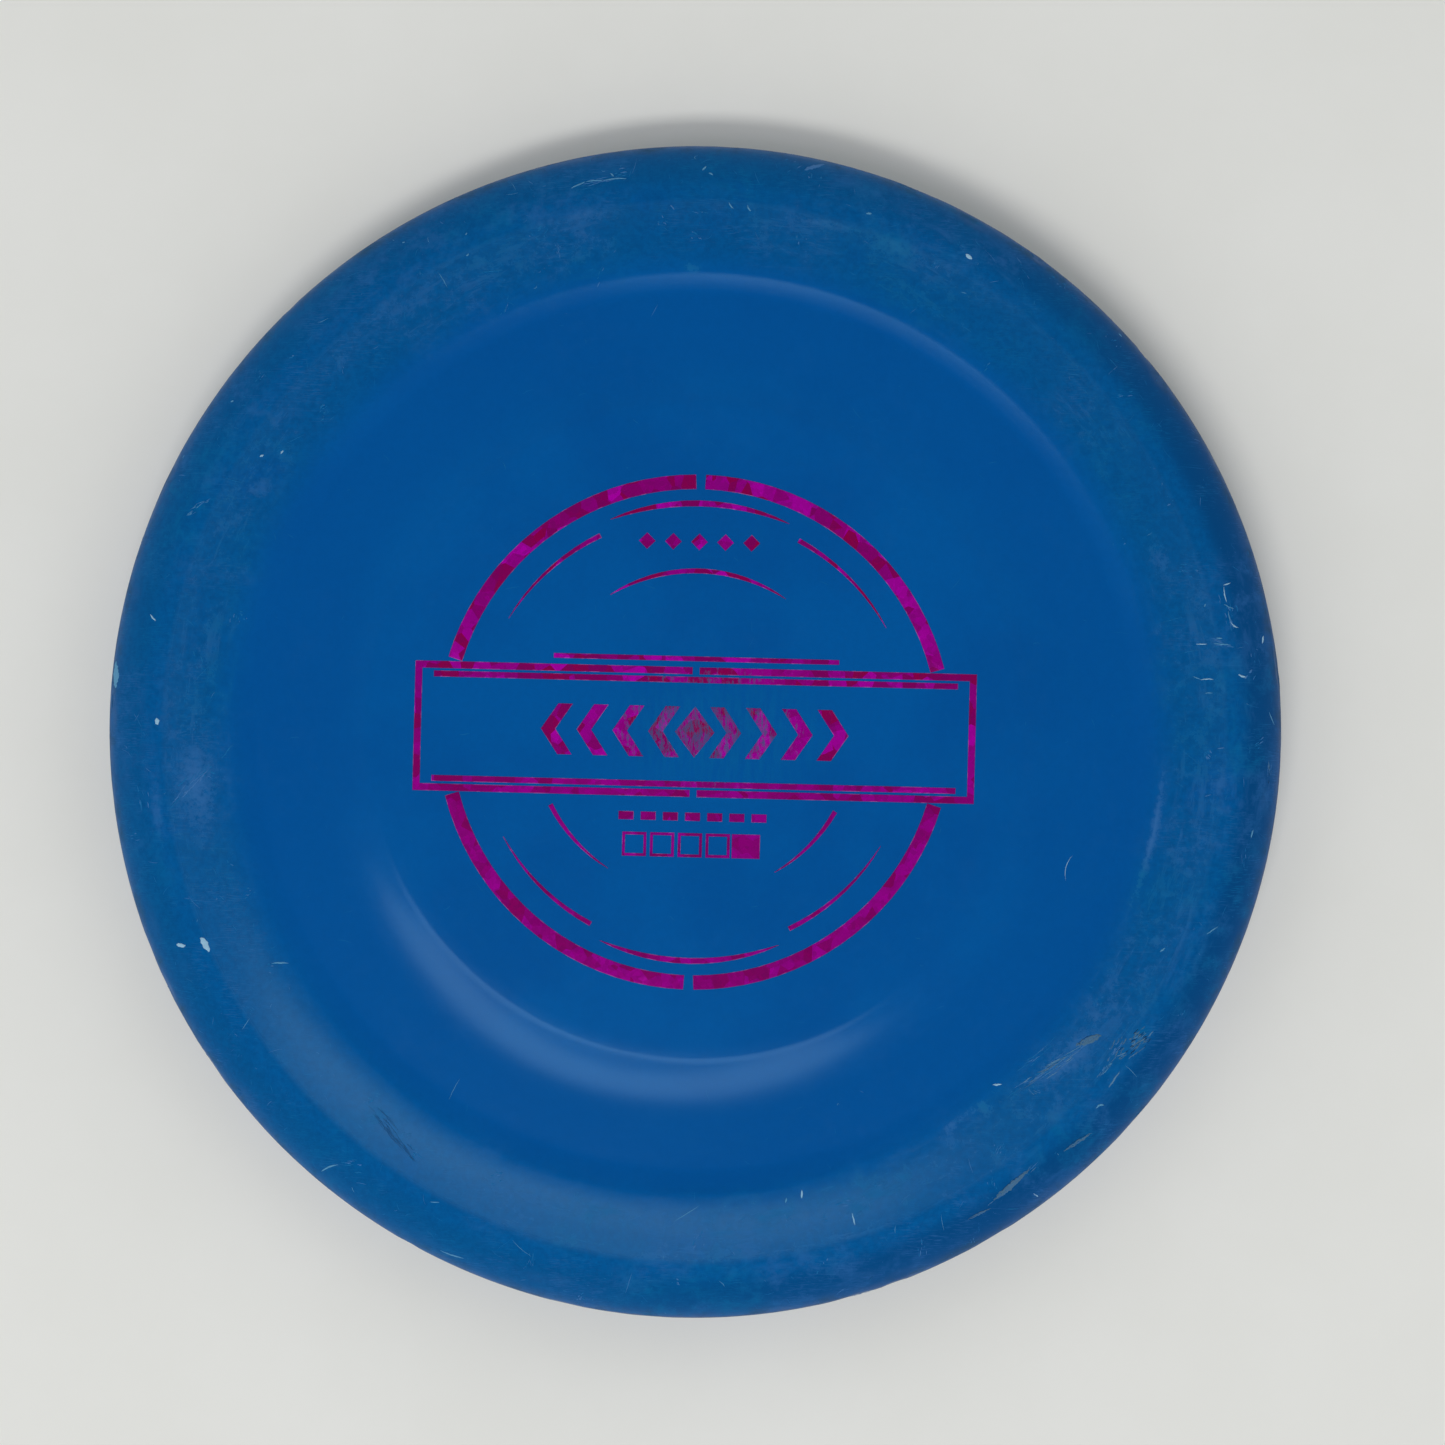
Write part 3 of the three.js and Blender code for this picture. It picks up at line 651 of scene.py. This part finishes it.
class Shader:
    """A material under construction. Places are in millimetres in the object's own frame."""

    def __init__(self, name):
        self.material = bpy.data.materials.new(name)
        self.material.use_nodes = True
        self.tree = self.material.node_tree
        self.surface = self.tree.nodes["Principled BSDF"]
        coordinates = self.node("ShaderNodeTexCoord").outputs["Object"]
        self.place = self.vector("MULTIPLY", coordinates, (1000, 1000, 1000))
        parts = self.node("ShaderNodeSeparateXYZ", {"Vector": self.place}).outputs
        self.x, self.y, self.z = parts["X"], parts["Y"], parts["Z"]
        self.r = self.vector("LENGTH", self.vector("MULTIPLY", self.place, (1, 1, 0)))

    def node(self, kind, inputs=None, **settings):
        """A new node with these settings and inputs."""
        made = self.tree.nodes.new(kind)
        for key, value in settings.items():
            setattr(made, key, value)
        for key, value in (inputs or {}).items():
            self.plug(made.inputs[key], value)
        return made

    def plug(self, socket, value):
        """Feeds an input from another node's output, or gives it a fixed value."""
        if isinstance(value, bpy.types.NodeSocket):
            self.tree.links.new(value, socket)
        else:
            socket.default_value = value

    def set(self, **values):
        """Sets inputs of the surface: Base_Color=..., Roughness=..."""
        for key, value in values.items():
            self.plug(self.surface.inputs[key.replace("_", " ")], value)

    def vector(self, operation, a, b=(0, 0, 0)):
        """The result of one operation on vectors."""
        made = self.node("ShaderNodeVectorMath", {0: a, 1: b}, operation=operation)
        return made.outputs["Value" if operation == "LENGTH" else "Vector"]

    def distance_from(self, middle, scale):
        """Distance from a point, with each axis scaled."""
        away = self.vector("SUBTRACT", self.place, middle)
        return self.vector("LENGTH", self.vector("MULTIPLY", away, scale))

    def math(self, operation, a, b=0.0, clamp=False):
        """The result of one operation on numbers."""
        return self.node("ShaderNodeMath", {0: a, 1: b}, operation=operation, use_clamp=clamp).outputs[0]

    def product(self, first, *others):
        """All the numbers multiplied together."""
        for other in others:
            first = self.math("MULTIPLY", first, other)
        return first

    def band(self, value, low, high):
        """0 below low, 1 above high and smooth between. It falls instead if high is under low."""
        inputs = {"Value": value, "From Min": low, "From Max": high}
        return self.node("ShaderNodeMapRange", inputs, interpolation_type="SMOOTHSTEP").outputs["Result"]

    def noise(self, size, detail=3.0, rough=0.5, place=None):
        """Cloudy noise from 0 to 1, with features about size millimetres wide."""
        inputs = {"Vector": place or self.place, "Scale": 1 / size, "Detail": detail, "Roughness": rough}
        return self.node("ShaderNodeTexNoise", inputs).outputs["Fac"]

    def mix(self, share, a, b):
        """Colour a, taken towards colour b by a share."""
        made = self.node("ShaderNodeMix", data_type="RGBA")
        for socket, value in zip((made.inputs[0], made.inputs[6], made.inputs[7]), (share, a, b)):
            self.plug(socket, value)
        return made.outputs[2]

    def around(self, turn_size, radial_size):
        """A place in which noise runs round the disc, turn_size long and radial_size wide, with no seam."""
        outward = self.vector("NORMALIZE", self.vector("MULTIPLY", self.place, (1, 1, 0)))
        circle_r = NOSE_R / turn_size
        circle = self.vector("MULTIPLY", outward, (circle_r, circle_r, 0))
        climb = self.math("DIVIDE", self.math("ADD", self.r, self.z), radial_size)
        height = self.node("ShaderNodeCombineXYZ", {"Z": climb}).outputs[0]
        return self.vector("ADD", circle, height)

    def rim(self):
        """0 on the plate and in the groove, and 1 on the rim outside them."""
        return self.band(self.r, *RIM_FADE)

    def stored(self, name):
        """A number kept with each vertex of the mesh."""
        return self.node("ShaderNodeAttribute", attribute_name=name).outputs["Fac"]

    def hairlines(self, heading, length, width, least=0.70):
        """Fine scratches along one heading, fewer as least goes up."""
        inputs = {"Vector": self.place, "Rotation": (0, 0, math.radians(-heading)),
                  "Scale": (1 / length, 1 / width, 1 / length)}
        lines = self.node("ShaderNodeMapping", inputs, vector_type="POINT").outputs[0]
        return self.band(self.noise(1.0, detail=1.0, place=lines), least, least + 0.08)

    def bump(self, height, depth):
        """Bends the surface by a height from 0 to 1 that stands for depth millimetres."""
        inputs = {"Height": height, "Distance": depth * MM, "Strength": 1.0}
        self.set(Normal=self.node("ShaderNodeBump", inputs).outputs["Normal"])


BLUE = (0.0, 0.104, 0.380, 1)
DEEP_BLUE = (0.0, 0.090, 0.348, 1)
TEAL_BLUE = (0.0, 0.105, 0.338, 1)
NOSE_BLUE = (0.0, 0.095, 0.292, 1)
# The next colour is painted shade on the right of the nose, and the dark of the mottle.
SHADE_AND_MOTTLE_BLUE = (0.0, 0.060, 0.212, 1)
SCUFFED_BLUE = (0.028, 0.140, 0.400, 1)
SCUFFED_TEAL = (0.002, 0.148, 0.360, 1)
RUBBED_BLUE = (0.030, 0.125, 0.350, 1)
EDGE_GREY = (0.018, 0.062, 0.105, 1)
# The next colour is the belt at the nose's widest radius: grime and painted contact shade.
EDGE_DIRT_AND_SHADE = (0.010, 0.042, 0.085, 1)
GLOSS_TINT = (0.48, 0.93, 1.0, 1)

# Radii between which the materials change from plate to rim, and from rim to nose.
RIM_FADE, NOSE_FADE = (79, 87), (95.5, 99.5)


def moulded_colour(s):
    """The plastic's blue: cloudy, and duller towards the nose. It is also painted darker in the groove and
    on the right of the nose, as shade.
    """
    colour = s.mix(s.band(s.noise(26, 4, 0.55), 0.35, 0.68), BLUE, DEEP_BLUE)
    # Darker in the groove: painted shade.
    groove = s.product(s.band(s.r, 60, 68), s.band(s.r, 84, 76))
    colour = s.mix(s.product(groove, 0.7), colour, DEEP_BLUE)
    teal = s.product(s.rim(), s.band(s.noise(17, 5, 0.6), 0.15, 0.45))
    colour = s.mix(teal, colour, TEAL_BLUE)
    # The nose is painted darker on the right: painted shade.
    painted_shade_right = s.band(s.math("SUBTRACT", s.x, s.product(s.y, 0.3)), -15, 85)
    nose = s.mix(painted_shade_right, NOSE_BLUE, SHADE_AND_MOTTLE_BLUE)
    return s.mix(s.product(s.band(s.r, *NOSE_FADE), 0.95), colour, nose)


def scuffing(s):
    """How much of each point is clouded by scuffs, and how much is crossed by scratches and specks."""
    rim = s.rim()
    streaks = s.band(s.noise(1.0, 5, 0.62, place=s.around(9.0, 1.4)), 0.48, 0.72)
    blotches = s.band(s.noise(4, 8, 0.72), 0.46, 0.70)
    patches = s.band(s.noise(30, 2), 0.36, 0.6)
    clouds = s.product(s.math("MAXIMUM", s.product(streaks, 0.8), blotches), patches)
    clouds = s.product(clouds, s.math("ADD", s.product(rim, 0.42), 0.05))
    scuffed = s.stored("scuffed")
    broken = s.math("ADD", s.noise(1.3, 6, 0.8), s.product(scuffed, 0.3))
    clouds = s.math("MAXIMUM", clouds, s.product(scuffed, s.band(broken, 0.48, 0.76)))
    long_lines = s.math("MAXIMUM", s.hairlines(24, 9, 0.16), s.hairlines(81, 7, 0.14))
    long_lines = s.math("MAXIMUM", long_lines, s.hairlines(143, 11, 0.16))
    long_lines = s.product(long_lines, s.band(s.noise(13, 2), 0.42, 0.6))
    short_lines = s.math("MAXIMUM", s.hairlines(-8, 2.4, 0.15, 0.62), s.hairlines(47, 2.0, 0.14, 0.63))
    short_lines = s.math("MAXIMUM", short_lines, s.hairlines(108, 2.2, 0.15, 0.62))
    short_lines = s.product(short_lines, s.band(s.noise(7, 4, 0.6), 0.42, 0.62), rim)
    lines = s.product(s.math("MAXIMUM", long_lines, short_lines), s.math("ADD", s.product(rim, 0.32), 0.10))
    specks = s.product(s.band(s.noise(0.55, 2, 0.6), 0.68, 0.76), s.math("ADD", s.product(rim, 0.35), 0.12))
    return clouds, s.math("MAXIMUM", lines, specks)


def edge_dirt_and_shade(s):
    """Grime ground into the nose: greyish patches. A darker belt at the widest radius, heavier on the low
    side, is grime and painted contact shade.
    """
    low_side = s.band(s.y, 50, -50)
    uneven = s.band(s.noise(1.0, 6, 0.72, place=s.around(6.0, 1.5)), 0.46, 0.66)
    greyed = s.product(s.band(s.r, 102.8, 104.6), uneven, 0.5)
    broken = s.band(s.noise(1.0, 6, 0.8, place=s.around(3.4, 1.0)), 0.42, 0.60)
    # The belt is grime and painted contact shade, heavier towards the bottom.
    belt_grime_and_shade = s.math("ADD", s.product(broken, 0.35), s.math("ADD", s.product(low_side, 0.2), 0.25))
    dirt_and_shade = s.product(s.band(s.r, 104.9, 105.8), belt_grime_and_shade)
    return greyed, dirt_and_shade


def centre_haze(s):
    """The middle of the plate, rubbed pale by fingers, in streaks along Y."""
    away = s.distance_from((5, 0, 0), (0.55, 1, 0))
    streaky = s.noise(1.0, 4, 0.7, place=s.vector("MULTIPLY", s.place, (0.9, 0.16, 0)))
    return s.product(s.band(away, 15, 3), s.band(streaky, 0.35, 0.65), 0.35)


def plastic_material():
    """Blue plastic: clean and glossy in the groove, clouded and scuffed on the rim, grimy and painted with
    contact shade at the nose.
    """
    s = Shader("blue_plastic")
    colour = moulded_colour(s)
    clouds, lines = scuffing(s)
    greyed, dirt_and_shade = edge_dirt_and_shade(s)
    knocked = s.product(s.stored("knocked"), s.noise(0.8), 0.4)
    mottle = s.band(s.noise(1.1, 5, 0.75), 0.3, 0.7)
    mottle = s.product(mottle, s.math("ADD", s.product(s.rim(), 0.42), 0.14))
    scuffed = s.mix(s.band(s.noise(21, 4, 0.6), 0.42, 0.60), SCUFFED_BLUE, SCUFFED_TEAL)
    layers = [(mottle, SHADE_AND_MOTTLE_BLUE), (clouds, scuffed), (centre_haze(s), SCUFFED_TEAL), (lines, scuffed),
              (knocked, RUBBED_BLUE), (greyed, EDGE_GREY), (dirt_and_shade, EDGE_DIRT_AND_SHADE)]
    for share, worn_colour in layers:
        colour = s.mix(share, colour, worn_colour)
    s.set(Base_Color=colour)
    nose = s.band(s.r, 93.0, 94.6)
    dull_rim = s.product(s.rim(), s.band(s.z, 16.5, 18.5), 0.06)
    dull = s.math("ADD", s.product(clouds, 0.4), dull_rim)
    for share, amount in ((nose, 0.2), (greyed, 0.3)):
        dull = s.math("ADD", dull, s.product(share, amount))
    s.set(Roughness=s.math("ADD", dull, 0.155, clamp=True), IOR=1.48, Specular_Tint=GLOSS_TINT)
    s.set(Specular_IOR_Level=s.math("SUBTRACT", 0.5, s.product(nose, 0.44)))
    grain = s.math("ADD", s.product(s.noise(0.5, 3), 0.35), s.product(s.noise(2.6, 4, 0.6), 0.65))
    s.bump(s.math("SUBTRACT", grain, s.product(lines, 0.8)), 0.012)
    return s.material


def mark_material():
    """Torn and stress-whitened plastic, and the grime in it. The mesh says which."""
    s = Shader("torn_plastic")
    own = s.node("ShaderNodeAttribute", attribute_name="mark_colour").outputs["Color"]
    s.set(Base_Color=s.mix(s.product(s.noise(0.35, 4, 0.7), 0.35), own, DEEP_BLUE))
    s.set(Roughness=0.7, Specular_IOR_Level=0.15)
    s.bump(s.noise(0.2, 3), 0.03)
    return s.material


FOIL_SHADES = [(0.0, (0.37, 0.0, 0.08, 1)), (0.35, (0.30, 0.0, 0.15, 1)), (0.7, (0.43, 0.0, 0.36, 1)),
               (1.0, (0.60, 0.0, 0.55, 1))]
FOIL_SHADOW = (0.16, 0.0, 0.11, 1)
FOIL_EDGE_DARK = (0.13, 0.01, 0.17, 1)
# The next colour is a painted glint on the foil's edges.
FOIL_EDGE_GLINT = (0.50, 0.15, 0.44, 1)
WORN_FOIL = (0.040, 0.075, 0.215, 1)


def foil_shards(s):
    """The foil's pattern: angular patches of shifting magenta, and finer shards within them. The full range
    of shades on the upper half is a painted shimmer, and lower down the shades stay near the middle.
    """
    blocks = s.node("ShaderNodeTexVoronoi", {"Vector": s.place, "Scale": 1 / 2.6, "Randomness": 0.9})
    shift = s.node("ShaderNodeSeparateColor", {"Color": blocks.outputs["Color"]}).outputs[0]
    shards = s.node("ShaderNodeTexVoronoi", {"Vector": s.place, "Scale": 1 / 0.8})
    fine = s.node("ShaderNodeSeparateColor", {"Color": shards.outputs["Color"]}).outputs[1]
    # The full range of shades on the upper half is a painted highlight; lower down the shades stay near the
    # middle.
    painted_shimmer_fade = s.band(s.y, 4, -14)
    painted_shimmer_range = s.math("SUBTRACT", 1.0, s.product(painted_shimmer_fade, 0.6))
    shift = s.math("ADD", s.product(shift, painted_shimmer_range), s.product(painted_shimmer_fade, 0.3))
    return shift, fine


def foil_material(name, pale):
    """Patterned magenta foil, rubbed off in streaks along Y near the emblem's centre."""
    s = Shader(name)
    shift, fine = foil_shards(s)
    ramp = s.node("ShaderNodeValToRGB", {"Fac": shift})
    for position, _ in FOIL_SHADES[1:-1]:
        ramp.color_ramp.elements.new(position)
    for element, (position, value) in zip(ramp.color_ramp.elements, FOIL_SHADES):
        element.position, element.color = position, value
    colour = s.mix(s.product(fine, 0.45), ramp.outputs["Color"], FOIL_SHADOW)
    if pale:
        # The foil's edge is darkened, with pale spots that are a painted glint.
        edge = s.mix(s.band(s.noise(2.2, 3), 0.52, 0.62), FOIL_EDGE_DARK, FOIL_EDGE_GLINT)
        colour = s.mix(0.6, colour, edge)
    centre = s.distance_from((2, 1, 0), (0.55, 0.9, 0))
    streaky = s.noise(1.0, 5, 0.8, place=s.vector("MULTIPLY", s.place, (1.5, 0.45, 0)))
    rubbed = s.math("SUBTRACT", streaky, s.product(s.band(centre, 4, 15), 0.24))
    worn = s.band(rubbed, 0.44, 0.54)
    colour = s.mix(s.product(worn, 0.8), colour, WORN_FOIL)
    s.set(Base_Color=colour, Metallic=s.math("SUBTRACT", 0.3, s.product(worn, 0.3)))
    s.set(Roughness=s.math("ADD", s.product(fine, 0.2), 0.3), Specular_IOR_Level=0.1)
    s.bump(s.math("ADD", s.product(shift, 0.5), s.product(fine, 0.5)), 0.03)
    return s.material


def floor_material():
    """Off-white painted board with faint mottling, clear from below."""
    s = Shader("pale_floor")
    mottle = s.band(s.noise(60, 5, 0.6), 0.3, 0.7)
    s.set(Base_Color=s.mix(mottle, (0.87, 0.865, 0.82, 1), (0.895, 0.89, 0.85, 1)), Roughness=0.8)
    clear = s.node("ShaderNodeBsdfTransparent").outputs[0]
    back = s.node("ShaderNodeNewGeometry").outputs["Backfacing"]
    mixed = s.node("ShaderNodeMixShader", {0: back, 1: s.surface.outputs[0], 2: clear})
    s.plug(s.tree.nodes["Material Output"].inputs["Surface"], mixed.outputs[0])
    return s.material


# ---------------------------------------------------------------- floor, light and camera

def add_floor(radius, sides):
    """A round floor, so that its far edge looks level from every side."""
    turns = [math.tau * i / sides for i in range(sides)]
    verts = [(radius * math.cos(t), radius * math.sin(t), 0) for t in turns]
    floor = new_mesh("floor", verts, [tuple(range(sides))], floor_material())


def add_sky():
    """Even pale light from all round, dimmer straight overhead."""
    world = bpy.data.worlds.new("studio")
    world.use_nodes = True
    bpy.context.scene.world = world
    nodes, links = world.node_tree.nodes, world.node_tree.links
    direction = nodes.new("ShaderNodeTexCoord").outputs["Generated"]
    height = nodes.new("ShaderNodeSeparateXYZ")
    links.new(direction, height.inputs[0])
    fade = nodes.new("ShaderNodeMapRange")
    fade.interpolation_type = "SMOOTHSTEP"
    links.new(height.outputs["Z"], fade.inputs["Value"])
    for key, value in SKY_FADE.items():
        fade.inputs[key].default_value = value
    background = nodes["Background"]
    background.inputs["Color"].default_value = SKY_COLOUR
    links.new(fade.outputs["Result"], background.inputs["Strength"])


def add_softbox(name, azimuth, tilt, distance, size, power, roll=0.0, mirrored=True):
    """A rectangular light that faces the disc from tilt degrees off the vertical, rolled in its plane.

    Distance and size are in metres, and power in watts. One that isn't mirrored only fills.
    """
    light = bpy.data.lights.new(name, "AREA")
    light.shape, light.size, light.size_y, light.energy = "RECTANGLE", size[0], size[1], power
    light.color = SOFTBOX_COLOUR if mirrored else FILL_COLOUR
    lamp = bpy.data.objects.new(name, light)
    around, off = math.radians(azimuth), math.radians(tilt)
    towards = Vector((math.sin(off) * math.cos(around), math.sin(off) * math.sin(around), math.cos(off)))
    lamp.location = towards * distance
    facing = towards.to_track_quat("Z", "Y").to_matrix()
    lamp.rotation_euler = (facing @ Matrix.Rotation(math.radians(roll), 3, "Z")).to_euler()
    lamp.visible_glossy = mirrored
    bpy.context.scene.collection.objects.link(lamp)


def add_camera():
    """Looks straight down, with a frame that is FRAME_WIDTH wide at the height of the nose."""
    camera = bpy.data.cameras.new("camera")
    camera.sensor_width = SENSOR_WIDTH
    camera.lens = camera.sensor_width * (CAMERA_HEIGHT - NOSE_Z) / FRAME_WIDTH
    holder = bpy.data.objects.new("camera", camera)
    offset = Matrix.Rotation(math.radians(CAMERA_TURN), 2) @ CAMERA_OFFSET
    holder.location = Vector((offset.x, offset.y, CAMERA_HEIGHT)) * MM
    holder.rotation_euler = (0, 0, math.radians(CAMERA_TURN))
    bpy.context.scene.collection.objects.link(holder)
    bpy.context.scene.camera = holder


# ---------------------------------------------------------------- the scene

add_to_model(body_piece(plastic_material()), "body_plastic", "disc_body")
add_to_model(wear_piece(mark_material()), "body_plastic")
foil_materials = [foil_material("magenta_foil", pale=False), foil_material("foil_edge", pale=True)]
for node_name in FOIL_NODES:
    add_to_model(foil_piece(node_name, foil_materials), "foil", node_name)

add_floor(radius=12000, sides=96)
add_sky()
add_softbox("softbox", azimuth=254, tilt=22.1, distance=3.0, size=(1.95, 0.46), power=5.4)
add_softbox("softbox_edge", azimuth=244, tilt=31, distance=3.0, size=(1.6, 0.32), power=1.1)
add_softbox("fill", azimuth=256, tilt=33, distance=2.2, size=(1.3, 0.3), power=16.8, roll=14, mirrored=False)
add_camera()
bpy.context.scene.view_settings.view_transform = "Standard"
